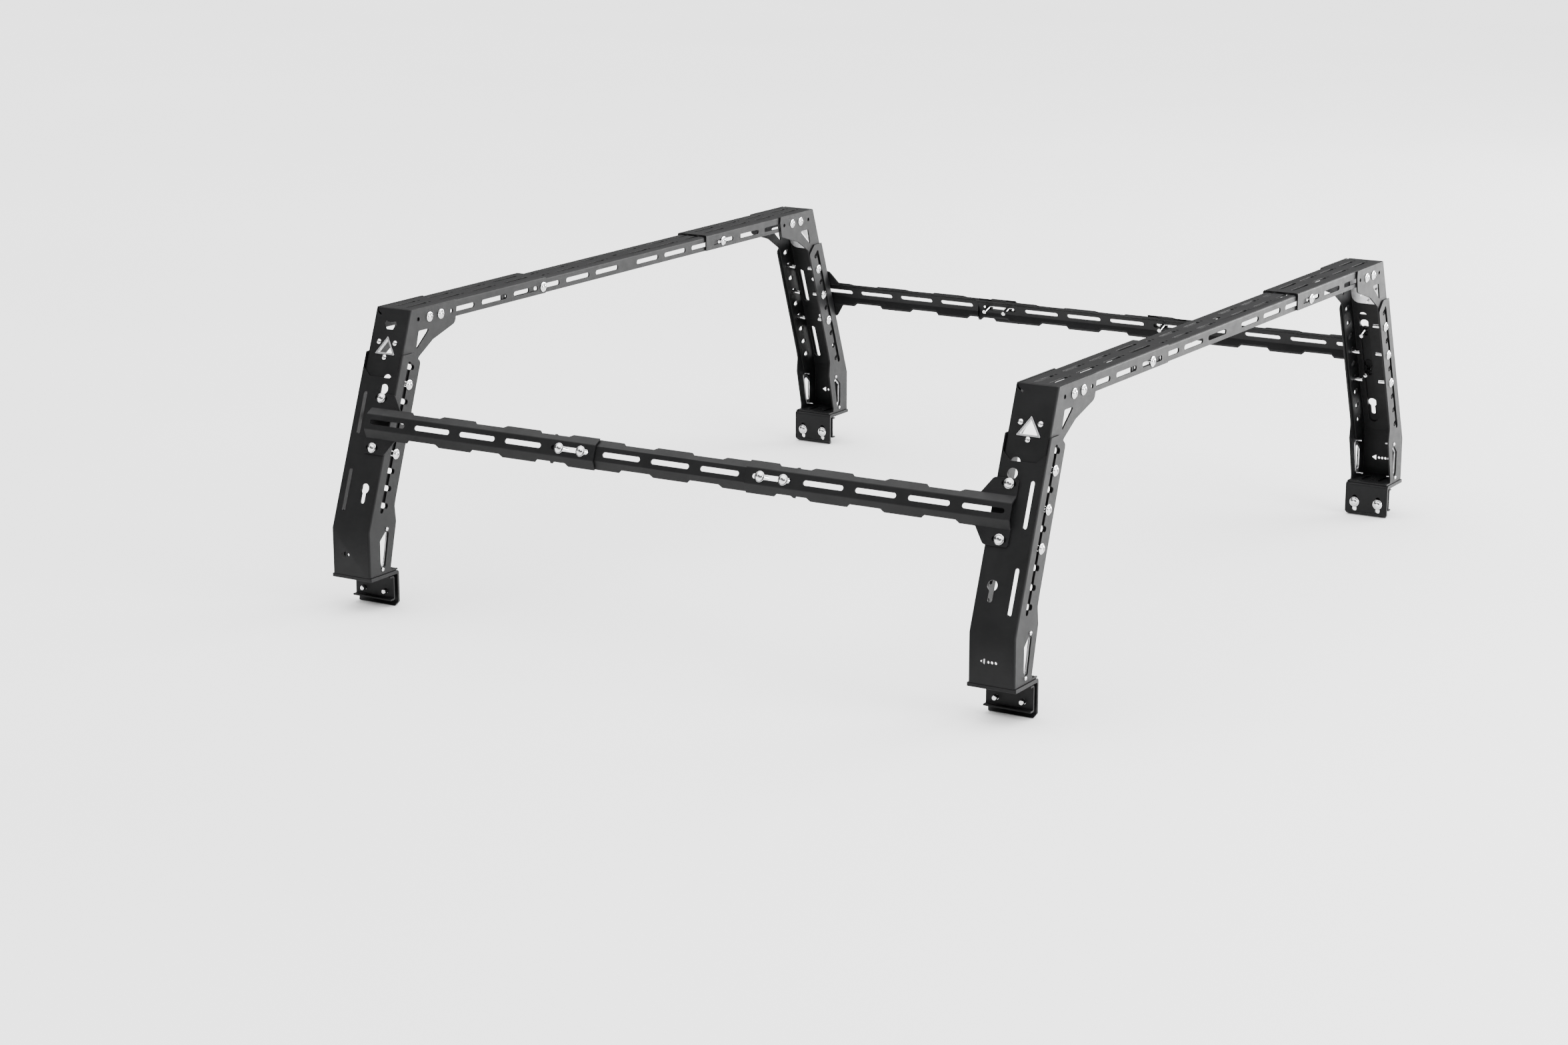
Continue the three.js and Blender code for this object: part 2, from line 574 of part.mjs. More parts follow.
for (const [sideKey, side] of Object.entries(SIDES)) {
  for (const [endKey, end] of Object.entries(ENDS)) {
    const key = sideKey + endKey;
    const leg = new THREE.Group();
    leg.position.set(end * HALF_LENGTH, side * HALF_WIDTH, 0);
    const flips = [end, -side];
    const innerNotches = HEIGHT_BOLT_NOTCHES.filter((notch) => notch !== OPEN_NOTCH[key]);
    leg.add(
      coated(`lower_post_${key}`, lowerPost(MARKS[key], end), ...flips),
      coated(`upper_post_${key}`, upperPost(end < 0), ...flips),
      coated(`base_bracket_${key}`, baseBracket(), ...flips),
      coated(`clamp_channel_${key}`, clampChannel(), ...flips),
      plated(`triangle_trim_${key}`, triangleTrim(), ...flips),
      steel(`clamp_bolts_${key}`, clampBolts(), ...flips),
      steel(`height_bolts_${key}_outer`, heightBolts(1), ...flips),
      steel(`height_bolts_${key}_inner`, heightBolts(-1, innerNotches), ...flips),
      steel(`rail_end_bolts_${key}`, railEndBolts(), ...flips),
      steel(`corner_bolts_${key}`, cornerBolts(), ...flips),
    );
    rack.add(leg);
  }
}

for (const [name, end] of [['front', -1], ['rear', 1]]) {
  const bar = new THREE.Group();
  bar.position.x = end * HALF_LENGTH;
  const oddLeft = end < 0;
  bar.add(
    coated(`${name}_bar_left_sleeve`, sleeve(-1, oddLeft)),
    coated(`${name}_bar_middle`, middleBar(oddLeft)),
    coated(`${name}_bar_right_sleeve`, sleeve(1, false)),
    steel(`${name}_bar_left_bolts`, spliceBolts(oddLeft ? -ODD_BOLT : -SPLICE_BOLT)),
    steel(`${name}_bar_right_bolts`, spliceBolts(SPLICE_BOLT)),
  );
  rack.add(bar);
}

for (const [name, side] of [['left', -1], ['right', 1]]) {
  const rail = new THREE.Group();
  rail.position.y = side * HALF_WIDTH;
  rail.add(
    coated(`${name}_rail_front`, railEnd(-1), 1, -side),
    coated(`${name}_rail_middle`, railMiddle(), 1, -side),
    coated(`${name}_rail_rear`, railEnd(1), 1, -side),
    steel(`${name}_rail_front_bolts`, railSpliceBolts(-1), 1, -side),
    steel(`${name}_rail_rear_bolts`, railSpliceBolts(1), 1, -side),
  );
  rack.add(rail);
}

export default rack;
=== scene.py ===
"""Adjustable truck-bed ladder rack: sheet-steel skins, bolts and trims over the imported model."""

import math

import bmesh
import bpy
from mathutils import Matrix, Vector


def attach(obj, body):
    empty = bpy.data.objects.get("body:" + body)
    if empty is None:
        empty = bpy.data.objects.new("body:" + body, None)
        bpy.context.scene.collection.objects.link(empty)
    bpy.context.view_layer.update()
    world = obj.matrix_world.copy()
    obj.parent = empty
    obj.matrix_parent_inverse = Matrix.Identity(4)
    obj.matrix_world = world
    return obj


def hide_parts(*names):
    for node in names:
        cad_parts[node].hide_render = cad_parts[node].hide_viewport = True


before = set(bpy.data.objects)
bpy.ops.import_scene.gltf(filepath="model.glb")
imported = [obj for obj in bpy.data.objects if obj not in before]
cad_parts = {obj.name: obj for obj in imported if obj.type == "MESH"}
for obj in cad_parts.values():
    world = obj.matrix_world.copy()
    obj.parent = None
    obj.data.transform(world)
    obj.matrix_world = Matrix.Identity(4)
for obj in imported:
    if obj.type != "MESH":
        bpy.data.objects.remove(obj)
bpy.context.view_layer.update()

# ------------------------------------------------------------------ sizes, in millimetres
# A leg's heights are measured from the bed rail, and what lies along a post from its knee.
MM = 0.001
HALF_LENGTH = 615.6  # post centres, fore and aft of the middle
HALF_WIDTH = 806.4  # outer face of a lower post's web
BED = 57.0  # bed rail plane above the floor
TILT = math.radians(20.2)
SIN, COS = math.sin(TILT), math.cos(TILT)
SHEET = 3.0
GAP = 0.3
BEND = 3.8  # outside radius of the bends
POST_HALF = 40.0  # half a lower post's width
KNEE = 87.0  # height where the posts start to lean
POST_FOOT = 6.7
FLANGE_TOP = 375.3  # top of a lower post's flanges
BAR_TOP = 448.8
PITCH = 30.2  # between height notches
NOTCHES = 9
NOTCH_TOP = 293.5
BOLT_DEPTH = 33.2  # height bolts, in from the web
RAIL_BOLTS = (230.9, 144.7)
RAIL_BOLT_SIDE = -15.0  # off the post's middle, minus is towards the rack's middle
UPPER_HALF = POST_HALF - SHEET - GAP
UPPER_IN = SHEET + GAP  # outer face of an upper post's web
SLEEVE_HALF = UPPER_HALF - SHEET - GAP
BAR_SKIRT = 31.0  # height of a crossbar's sides
BAR_SLOT = 430.0  # centre line of the slots in them
CORNER_BOLTS = (586, 618)  # from the truck's middle
SLOT_LONG, SLOT_WIDE = 73.0, 8.4
RELIEF_SIDE = 22.5  # long slots in the posts' webs, outwards from the middle
EDGE = 0.55  # rounding of the sheet's coated edges
OVER = 30.0  # how far a channel's inner cutter runs past its open ends

# End and side of each leg: -1 is the front end and the left side.
LEGS = {"lf": (-1, -1), "lr": (1, -1), "rf": (-1, 1), "rr": (1, 1)}


# ------------------------------------------------------------------ frames
def frame_of(x, y, z, origin=(0, 0, 0)):
    made = Matrix((x, y, z)).transposed().to_4x4()
    made.translation = Vector(origin)
    return made


FLAT = frame_of((1, 0, 0), (0, 1, 0), (0, 0, 1))
SIDE = frame_of((0, 1, 0), (0, 0, 1), (1, 0, 0))
SIDE_BACK = frame_of((0, 1, 0), (0, 0, -1), (-1, 0, 0))
UPRIGHT = frame_of((1, 0, 0), (0, 0, 1), (0, -1, 0))
INBOARD = frame_of((-1, 0, 0), (0, 0, 1), (0, 1, 0))
LEANING = frame_of((1, 0, 0), (0, SIN, COS), (0, -COS, SIN), (0, 0, KNEE))
RAIL_LANE = frame_of((0, SIN, COS), (0, -COS, SIN), (1, 0, 0), (0, 0, KNEE))
# x along the rail, y outwards from the web, z down the post.
ALONG_RAIL = frame_of((1, 0, 0), (0, -COS, SIN), (0, -SIN, -COS), (0, 0, KNEE))


def leg_place(end, side):
    """Leg frame to row frame: x outwards along the truck, y inwards, z up from the bed rail."""
    here = Matrix.Translation((end * HALF_LENGTH, side * HALF_WIDTH, BED))
    return here @ Matrix.Diagonal((end, -side, 1, 1))


def leaning(along, depth):
    """Point of a flange, given along the leaning post and in from its web."""
    return (along * SIN + depth * COS, KNEE + along * COS - depth * SIN)


# ------------------------------------------------------------------ outlines
STRAIGHT = 0.02  # a corner that turns by less than this, in radians, stays as it is
SIDE_SHARE = 0.48  # the largest part of a side that one rounded corner takes up


def rounded(points, radius, steps=4):
    """A polygon with its corners rounded: radius is one number, or one for each corner."""
    radii = radius if isinstance(radius, (list, tuple)) else [radius] * len(points)
    made = []
    count = len(points)
    for i, r in enumerate(radii):
        corner = Vector(points[i])
        back = Vector(points[i - 1]) - corner
        ahead = Vector(points[(i + 1) % count]) - corner
        turn = math.pi - back.angle(ahead)
        if r <= 0 or turn < STRAIGHT:
            made.append(tuple(corner))
            continue
        longest = min(back.length, ahead.length) * SIDE_SHARE
        reach = min(r * math.tan(turn / 2), longest)
        start = corner + back.normalized() * reach
        finish = corner + ahead.normalized() * reach
        for step in range(steps + 1):
            t = step / steps
            here = start * (1 - t) ** 2 + corner * 2 * t * (1 - t) + finish * t * t
            made.append(tuple(here))
    return made


def rectangle(x0, y0, x1, y1):
    return [(x0, y0), (x1, y0), (x1, y1), (x0, y1)]


def arc(x, y, radius, start, end, steps):
    angles = [math.radians(start + (end - start) * i / steps) for i in range(steps + 1)]
    return [(x + radius * math.cos(a), y + radius * math.sin(a)) for a in angles]


def disc(x, y, radius, steps=24):
    return arc(x, y, radius, 0, 360, steps)[:-1]


def slot(start, end, centre, width, upright=False, steps=8):
    """Slot with round ends, from start to end along x, or along y when upright."""
    r = width / 2
    points = arc(end - r, centre, r, -90, 90, steps) + arc(start + r, centre, r, 90, 270, steps)
    return [(y, x) for x, y in points] if upright else points


# ------------------------------------------------------------------ solids
BEND_SEGMENTS = 5
EDGE_SEGMENTS = 2
EDGE_ANGLE = math.radians(35)  # sheet edges that turn by more than this are rounded
SHARP_ANGLE = math.radians(32)  # edges left sharper than this are shaded as edges


def prism(outline, low, high, place, bend=0.0, bent=0):
    """Outline extruded from low to high. The edges along its first `bent` sides are rounded."""
    area = sum(
        a[0] * b[1] - b[0] * a[1] for a, b in zip(outline, outline[1:] + outline[:1])
    )
    bm = bmesh.new()
    count = len(outline)
    floor = [bm.verts.new((x, y, low)) for x, y in outline]
    roof = [bm.verts.new((x, y, high)) for x, y in outline]
    bm.faces.new(floor[::-1] if area > 0 else floor)
    bm.faces.new(roof if area > 0 else roof[::-1])
    for i in range(count):
        j = (i + 1) % count
        ring = (floor[i], floor[j], roof[j], roof[i])
        bm.faces.new(ring if area > 0 else ring[::-1])
    if bend > 0:
        edges = []
        for i in range(bent):
            edges.append(bm.edges.get((floor[i], floor[i + 1])))
            edges.append(bm.edges.get((roof[i], roof[i + 1])))
        bmesh.ops.bevel(
            bm, geom=edges, offset=bend, offset_type="OFFSET", segments=BEND_SEGMENTS,
            profile=0.5, affect="EDGES", clamp_overlap=False,
        )
    bm.transform(place)
    return bm


def mesh_of(*solids):
    """One mesh from solids that don't touch each other."""
    whole = bmesh.new()
    for bm in solids:
        part = bpy.data.meshes.new("part")
        bm.to_mesh(part)
        bm.free()
        whole.from_mesh(part)
        bpy.data.meshes.remove(part)
    made = bpy.data.meshes.new("solid")
    whole.to_mesh(made)
    whole.free()
    return made


def evaluated(thing):
    graph = bpy.context.evaluated_depsgraph_get()
    return bpy.data.meshes.new_from_object(thing.evaluated_get(graph))


def boolean(operation, body, other):
    """Mesh `body` cut by, or joined with, mesh `other`. Both are used up."""
    first = bpy.data.objects.new("first", body)
    second = bpy.data.objects.new("second", other)
    for thing in (first, second):
        bpy.context.scene.collection.objects.link(thing)
    step = first.modifiers.new("step", "BOOLEAN")
    step.operation = operation
    step.solver = "MANIFOLD"
    step.object = second
    made = evaluated(first)
    for thing in (first, second):
        old = thing.data
        bpy.data.objects.remove(thing)
        bpy.data.meshes.remove(old)
    return made


def cut(body, *solids):
    return boolean("DIFFERENCE", body, mesh_of(*solids))


def join(body, *solids):
    for bm in solids:
        body = boolean("UNION", body, mesh_of(bm))
    return body


def lathe(profile, place, steps=28):
    """Closed solid of revolution about z, from (radius, height) pairs that end on the axis."""
    bm = bmesh.new()
    rings = []
    for r, z in profile:
        if r == 0:
            rings.append([bm.verts.new((0, 0, z))])
            continue
        around = [2 * math.pi * i / steps for i in range(steps)]
        rings.append([bm.verts.new((r * math.cos(a), r * math.sin(a), z)) for a in around])
    for low, high in zip(rings, rings[1:]):
        for i in range(steps):
            j = (i + 1) % steps
            corners = [low[i % len(low)], low[j % len(low)], high[j % len(high)], high[i % len(high)]]
            bm.faces.new(list(dict.fromkeys(corners)))
    bm.transform(place)
    return bm


def spot(place, x, y, z):
    return place @ Matrix.Translation((x, y, z))


def piece(name, mesh, place, body, material, replaced=(), edge=EDGE):
    """Finished piece: mesh in millimetres, set in place, with its sheet edges rounded."""
    scale = Matrix.Scale(MM, 4)
    mesh.transform(scale @ place)
    if place.determinant() < 0:
        mesh.flip_normals()
    made = bpy.data.objects.new(name, mesh)
    bpy.context.scene.collection.objects.link(made)
    if edge > 0:
        step = made.modifiers.new("edge", "BEVEL")
        step.width = edge * MM
        step.segments = EDGE_SEGMENTS
        step.limit_method = "ANGLE"
        step.angle_limit = EDGE_ANGLE
        step.use_clamp_overlap = False
    mesh.polygons.foreach_set("use_smooth", [True] * len(mesh.polygons))
    made.data = evaluated(made)
    made.modifiers.clear()
    made.data.set_sharp_from_angle(angle=SHARP_ANGLE)
    weigh = made.modifiers.new("weigh", "WEIGHTED_NORMAL")
    weigh.keep_sharp = True
    weigh.weight = 100
    made.data = evaluated(made)
    made.modifiers.clear()
    made.data.materials.clear()
    made.data.materials.append(material)
    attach(made, body)
    if replaced:
        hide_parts(*replaced)
    return made


# ------------------------------------------------------------------ materials
def new_material(name):
    made = bpy.data.materials.new(name)
    made.use_nodes = True
    nodes, links = made.node_tree.nodes, made.node_tree.links
    return made, nodes, links, nodes["Principled BSDF"]


def noise(nodes, links, scale, detail, middle=(0.3, 0.7), out=(0.0, 1.0)):
    """Noise in object space, with its middle range remapped between two numbers."""
    where = nodes.new("ShaderNodeTexCoord")
    cloud = nodes.new("ShaderNodeTexNoise")
    cloud.inputs["Scale"].default_value = scale
    cloud.inputs["Detail"].default_value = detail
    links.new(where.outputs["Object"], cloud.inputs["Vector"])
    span = nodes.new("ShaderNodeMapRange")
    span.inputs["From Min"].default_value, span.inputs["From Max"].default_value = middle
    span.inputs["To Min"].default_value, span.inputs["To Max"].default_value = out
    links.new(cloud.outputs["Fac"], span.inputs["Value"])
    return cloud, span


def tinted(nodes, links, shader, tone, dark, light):
    """Base colour that a noise moves between two colours."""
    ramp = nodes.new("ShaderNodeValToRGB")
    ramp.color_ramp.elements[0].color = (*dark, 1)
    ramp.color_ramp.elements[1].color = (*light, 1)
    links.new(tone.outputs["Result"], ramp.inputs["Fac"])
    links.new(ramp.outputs["Color"], shader.inputs["Base Color"])


def bumped(nodes, links, shader, grain, strength, distance):
    """Grain of the surface; distance is in metres."""
    bump = nodes.new("ShaderNodeBump")
    bump.inputs["Strength"].default_value = strength
    bump.inputs["Distance"].default_value = distance
    links.new(grain.outputs["Fac"], bump.inputs["Height"])
    links.new(bump.outputs["Normal"], shader.inputs["Normal"])


def powder_coat():
    """Fine-textured black powder coat: orange-peel grain, slightly uneven in colour and sheen."""
    made, nodes, links, shader = new_material("powder_coat")
    _, tone = noise(nodes, links, scale=9.0, detail=3.0, middle=(0.35, 0.65))
    tinted(nodes, links, shader, tone, (0.0042, 0.0043, 0.0045), (0.0062, 0.0063, 0.0066))
    _, rough = noise(nodes, links, scale=60.0, detail=4.0, out=(0.4, 0.5))
    links.new(rough.outputs["Result"], shader.inputs["Roughness"])
    grain, _ = noise(nodes, links, scale=2200.0, detail=2.0)
    bumped(nodes, links, shader, grain, strength=0.44, distance=0.0004)
    shader.inputs["Specular IOR Level"].default_value = 0.13
    return made


def bright_steel(name, colour, roughness):
    """Bare metal: faint mottling in tone and polish, with fine handling marks."""
    made, nodes, links, shader = new_material(name)
    shader.inputs["Metallic"].default_value = 1.0
    _, tone = noise(nodes, links, scale=140.0, detail=3.0, middle=(0.35, 0.65))
    tinted(nodes, links, shader, tone, [c * 0.82 for c in colour], colour)
    marks, rough = noise(nodes, links, scale=420.0, detail=4.0, out=roughness)
    links.new(rough.outputs["Result"], shader.inputs["Roughness"])
    bumped(nodes, links, shader, marks, strength=0.04, distance=0.0004)
    return made


COAT = powder_coat()
STEEL = bright_steel("stainless", (0.7, 0.7, 0.705), roughness=(0.09, 0.18))
TRIM = bright_steel("satin_trim", (0.6, 0.6, 0.61), roughness=(0.3, 0.42))


# ------------------------------------------------------------------ lower posts
KITE = [(46, 80), (54.5, 77.5), (42.5, 19.5), (33, 19.5), (30.5, 27), (30.5, 66)]
KITE_RADII = [2.5, 2.5, 3, 4, 4, 3]
KITE_SCREWS = [(49.5, 84), (35, 16)]
KEYHOLES = (247.4, 160.9, 74.4)
RELIEF_SPANS = ((31.4, 105.8), (165.6, 239.8))
DOTS = {"lf": 1, "rf": 2, "lr": 3, "rr": 4}


def ladder_slot():
    """Long slot with nine round-ended notches on its inboard side, in the flange's plane."""
    high, low = 301.8, 37.7  # along the post
    middle, half_width = 24.4, 4.0  # in from the web
    shoulder, fillet = 28.4, 1.5
    tooth, half = BOLT_DEPTH + 0.6, 4.6
    points = arc(high - half_width, middle, half_width, -90, 60, 6)
    for i in range(NOTCHES):
        notch = NOTCH_TOP - i * PITCH
        if i > 0:
            points += arc(notch + half + fillet, shoulder + fillet, fillet, 270, 180, 3)
        points += [(notch + half * math.cos(a), tooth + half * math.sin(a))
                   for a in [math.pi * k / 10 for k in range(11)]]
        points += arc(notch - half - fillet, shoulder + fillet, fillet, 0, -90, 3)
    points += arc(low + half_width, middle, half_width, 90, 270, 8)
    return [leaning(s, d) for s, d in points]


def keyhole(x, top):
    """Round hole with a narrow slot below it, on the post's web."""
    r, half, drop = 8.6, 4.0, 22.0
    opening = math.degrees(math.asin(half / r))
    points = arc(x, top, r, -90 + opening, 270 - opening, 20)
    return points + arc(x, top - drop, half, 180, 360, 8)


def direction_marks(key, end):
    """Arrow that points to the front of the truck on every leg, and dots that count the legs."""
    middle, half, tip, base = 43, 5.2, -20.5 * end, -11.5 * end
    marks = [rounded([(tip, middle), (base, middle - half), (base, middle + half)], 0.6)]
    marks += [disc((-6 + 6.5 * i) * end, middle, 2.3, 16) for i in range(DOTS[key])]
    return marks


def lower_post(key, end):
    tall = (FLANGE_TOP - KNEE) * math.tan(TILT)
    flange = [
        (0, POST_FOOT), (0, KNEE), (tall, FLANGE_TOP), (137.2, FLANGE_TOP), (156.6, 357),
        (77.7, 135), (73.2, 120), (76.2, 92), (58, 16), (59.5, 9.7), (76, 9.7), (76, POST_FOOT),
    ]
    radii = [0, 0, 0, 8, 8, 20, 14, 12, 2, 0, 0, 0]
    inside_tilt = SHEET * math.tan(TILT / 2)
    open_side = 260  # past the flanges' free edges
    inner = [
        (SHEET, POST_FOOT - OVER), (SHEET, KNEE - inside_tilt),
        (tall + SHEET / COS + OVER * math.tan(TILT), FLANGE_TOP + OVER),
        (open_side, FLANGE_TOP + OVER), (open_side, POST_FOOT - OVER),
    ]
    shell = mesh_of(prism(
        rounded(flange, radii), -POST_HALF, POST_HALF, SIDE, BEND, 2))
    shell = cut(shell, prism(
        inner, -POST_HALF + SHEET, POST_HALF - SHEET, SIDE, BEND - SHEET, 2))
    wide = POST_HALF + 12
    shell = cut(
        shell,
        prism(ladder_slot(), -wide, wide, SIDE),
        prism(rounded(KITE, KITE_RADII), -wide, wide, SIDE),
    )
    out, deep = 9, -9
    mouth = rounded(
        [(-21.5, 266.6), (21.5, 266.6), (37, 281), (37, 330), (-37, 330), (-37, 281)],
        [5, 5, 3, 0, 0, 3])
    web = [mouth]
    web += [slot(low, high, RELIEF_SIDE, 7, True) for low, high in RELIEF_SPANS]
    web += [keyhole(RAIL_BOLT_SIDE + 1, top) for top in KEYHOLES]
    shell = cut(shell, *[prism(shape, deep, out, LEANING) for shape in web])
    marks = direction_marks(key, end)
    return cut(shell, *[prism(shape, deep, out, UPRIGHT) for shape in marks])


def floor_plate():
    holes = [slot(18, 58, -17, 9, True), slot(18, 58, 17, 9, True), disc(0, 47, 3.5, 16)]
    play, inward = 0.2, 74
    inner = POST_HALF - SHEET - play
    outline = rectangle(-inner, SHEET + play, inner, inward)
    plate = prism(outline, POST_FOOT, POST_FOOT + SHEET, FLAT)
    return cut(mesh_of(plate), *[prism(h, POST_FOOT - 5, POST_FOOT + 9, FLAT) for h in holes])


def kite_trim(face):
    """Bevelled bright plate inside the flange, behind the kite window."""
    thick, play = 2.2, 0.1
    centre = Vector((39.5, 49))
    outer = [centre + (Vector(p) - centre) * 1.12 for p in KITE]
    inner = [centre + (Vector(p) - centre) * 0.8 for p in KITE]
    far = POST_HALF - SHEET - play
    low, high = sorted((face * far, face * (far - thick)))
    plate = mesh_of(prism(rounded([tuple(p) for p in outer], 3), low, high, SIDE))
    return cut(plate, prism(rounded([tuple(p) for p in inner], 2.5), low - 3, high + 3, SIDE))


# ------------------------------------------------------------------ upper posts
TRIANGLE = [(-15.5, 309.6), (15.5, 309.6), (0, 333.2)]
RING_SCREWS = ((-17, 327.4), (17, 327.4), (0, 301.4))
UPPER_FOOT = 17  # lower end, along the post
UPPER_DEEP = 49.5  # free edges of its flanges, in from the lower post's web


def upper_post(end):
    middle = HALF_WIDTH  # depth of the truck's middle, which the head's points are given from

    def outer_at(height):
        return (height - KNEE) * math.tan(TILT) + UPPER_IN / COS

    flange = [
        leaning(UPPER_FOOT, UPPER_IN), (outer_at(BAR_TOP), BAR_TOP), (middle - 541, BAR_TOP),
        (middle - 539.5, 437), (middle - 545, 408), (middle - 610, 388.6),
        (middle - 652, 364), leaning(300, UPPER_DEEP), leaning(UPPER_FOOT, UPPER_DEEP),
    ]
    radii = [0, 0, 3, 10, 12, 14, 14, 8, 3]
    foot = leaning(UPPER_FOOT - OVER, UPPER_IN + SHEET)
    head = outer_at(BAR_TOP + OVER) + SHEET / COS
    open_side = middle - 400  # past the flanges' free edges
    inner = [foot, (head, BAR_TOP + OVER), (open_side, BAR_TOP + OVER), (open_side, foot[1])]
    half = UPPER_HALF
    shell = mesh_of(prism(rounded(flange, radii), -half, half, SIDE, BEND, 1))
    shell = cut(shell, prism(inner, -half + SHEET, half - SHEET, SIDE, BEND - SHEET, 1))
    wide = half + 12
    levels = [NOTCH_TOP - i * PITCH for i in range(NOTCHES)]
    oblongs = [
        [leaning(y, x) for x, y in slot(21.5, 38.4, level, 9.2)] for level in levels
    ]
    brace = [(middle - 618, 409.5), (middle - 648.5, 409.7), (middle - 657.5, 378)]
    holes = oblongs + [rounded(brace, [3, 3, 2])]
    holes += [disc(middle - y, BAR_SLOT, 3.5) for y in (555, 649)]
    shell = cut(shell, *[prism(hole, -wide, wide, SIDE) for hole in holes])
    out, deep = 4, -UPPER_IN - SHEET - 6
    web = [
        slot(33.7, 273.6, RAIL_BOLT_SIDE + 1, 16.8, True, 12),
        slot(33, 106, RELIEF_SIDE, 14, True),
        slot(166, 241, RELIEF_SIDE, 14, True),
        rounded([(-21.5, 306.2), (21.5, 306.2), (0, 338.8)], 1.3),
    ]
    if end < 0:
        web.append(rounded(
            [(-7.5, 350.4), (7.5, 350.4), (13.3, 359), (10.5, 364.5), (0, 362.5),
             (-10.5, 364.5), (-13.3, 359)], [1.5, 1.5, 1.5, 1, 6, 1, 1.5]))
    shell = cut(shell, *[prism(shape, deep, out, LEANING) for shape in web])
    relief = [(x * end, y) for x, y in
              [(-34.5, 392), (-34.5, 382), (-31, 377), (-23, 372.4), (-21.6, 375), (-29.5, 379.6),
               (-31.8, 383), (-31.8, 392)]]
    return cut(shell, prism(relief, deep, out, LEANING))


def triangle_ring():
    """Bevelled bright ring that stands in the web's window."""
    outer = rounded([(-21.1, 306.5), (21.1, 306.5), (0, 338.4)], 1.2)
    low, high = -UPPER_IN - SHEET - 0.2, -UPPER_IN + 1.2
    ring = mesh_of(prism(outer, low, high, LEANING))
    return cut(ring, prism(rounded(TRIANGLE, 1.0), low - 4, high + 4, LEANING))


def triangle_back():
    """Rounded plate inside the upper post that carries the ring and its screws."""
    outline = rounded(rectangle(-33, 294.5, 33, 346), [18, 18, 4, 4], 8)
    high = -UPPER_IN - SHEET - 0.2
    plate = mesh_of(prism(outline, high - 2, high, LEANING))
    window = rounded(TRIANGLE, 1.0)
    return cut(plate, prism(window, high - 7, high + 5, LEANING))


# ------------------------------------------------------------------ feet
PLATE_HALF = 42.2
CLAMP_SIDE = 23.3  # clamp bolts, from the leg's middle
CLAMP_HEIGHT = -31.0
HANG = 77.0  # inner face of the hanging plate, in from the web


def base_bracket():
    thick = 5.0
    section = [
        (1, 0), (HANG - thick, 0), (HANG - thick, -49), (HANG - 11, -55.5), (HANG - 8.5, -57),
        (HANG - 3.5, -55.2), (HANG, -50), (HANG, 6.4), (1, 6.4),
    ]
    radii = [1, 2, 4, 0.6, 1.5, 4, 5, 5.5, 1]
    bent = mesh_of(prism(rounded(section, radii), -PLATE_HALF, PLATE_HALF, SIDE))
    slots = [slot(-49, -17, s * CLAMP_SIDE, 9.3, True) for s in (-1, 1)]
    corners = [
        rounded([(s * (PLATE_HALF + 3), -62), (s * (PLATE_HALF - 7), -62),
                 (s * PLATE_HALF, -50), (s * (PLATE_HALF + 3), -50)], 0)
        for s in (-1, 1)
    ]
    return cut(bent, *[prism(s, -HANG - 4, -HANG + 20, UPRIGHT) for s in slots + corners])


def clamp_channel():
    face, reach, top, bottom = 65.0, 53.0, -2.0, -45.0
    section = [
        (reach, top), (face, top), (face, bottom), (reach, bottom), (reach, bottom + SHEET),
        (face - SHEET, bottom + SHEET), (face - SHEET, top - SHEET), (reach, top - SHEET),
    ]
    radii = [0.8, 4, 4, 0.8, 0.8, 1.2, 1.2, 0.8]
    half = PLATE_HALF - 1
    bent = mesh_of(prism(rounded(section, radii), -half, half, SIDE))
    holes = [disc(s * CLAMP_SIDE, CLAMP_HEIGHT, 4.6) for s in (-1, 1)]
    return cut(bent, *[prism(hole, -face - 5, -face + 9, UPRIGHT) for hole in holes])


# ------------------------------------------------------------------ bolts
SHANK = 4.0
SMALL_HEAD = 5.0  # screws with a smaller head have a plain shank of 0.6 of its radius
BOLTS = {
    "height": {"length": 24},
    "bar": {"length": 20},
    "rail": {"length": 24, "washer": 9},
    "rail_end": {"length": 26},
    "corner": {"length": 17, "washer": 8.6},
    "clamp": {"length": 22, "washer": 9.5, "head": 7.6, "rise": 5.3, "stud": True},
    "ring_screw": {"length": 10, "washer": 4.4, "head": 3.8, "rise": 2.9},
    "kite_screw": {"length": 16, "washer": 3.4, "head": 2.7, "rise": 2.6},
}


def bolt(place, length, washer=8.8, head=6.9, rise=5.0, stud=False):
    """Domed head on a flanged washer, with its shank. Seated at the place's origin, head along +z.

    The head has a small round socket, or a nut's domed face with the end of its stud.
    """
    hollow = head * 0.36
    seat, brim = 0.05, 1.5
    dome = [(0, -length), (SHANK - 0.6, -length), (SHANK, -length + 0.8), (SHANK, seat)]
    if head < SMALL_HEAD:
        dome = [(0, -length), (head * 0.6, -length), (head * 0.6, seat)]
    dome += [(washer - 0.3, seat), (washer, 0.35), (washer, 0.9), (washer - 0.35, 1.25),
             (head + 0.35, 1.45), (head, 1.7)]
    for step in range(1, 6):
        a = math.radians(14 * step)
        dome.append((head * math.cos(a), brim + (rise - brim) * math.sin(a)))
    top = dome[-1][1]
    dome[-1] = (hollow + 0.25, top)
    if stud:
        dome += [(hollow + 0.1, top + 1.8), (hollow - 0.5, top + 2.4), (0, top + 2.4)]
    else:
        dome += [(hollow, top - 0.25), (hollow, top - 1.5), (0, top - 1.9)]
    return lathe(dome, place)


def bolt_piece(name, kind, places, row, body, replaced=()):
    """One piece from bolts of a kind, at places in the frame of their row."""
    mesh = mesh_of(*[bolt(place, **BOLTS[kind]) for place in places])
    return piece(name, mesh, row, body, STEEL, replaced, edge=0)


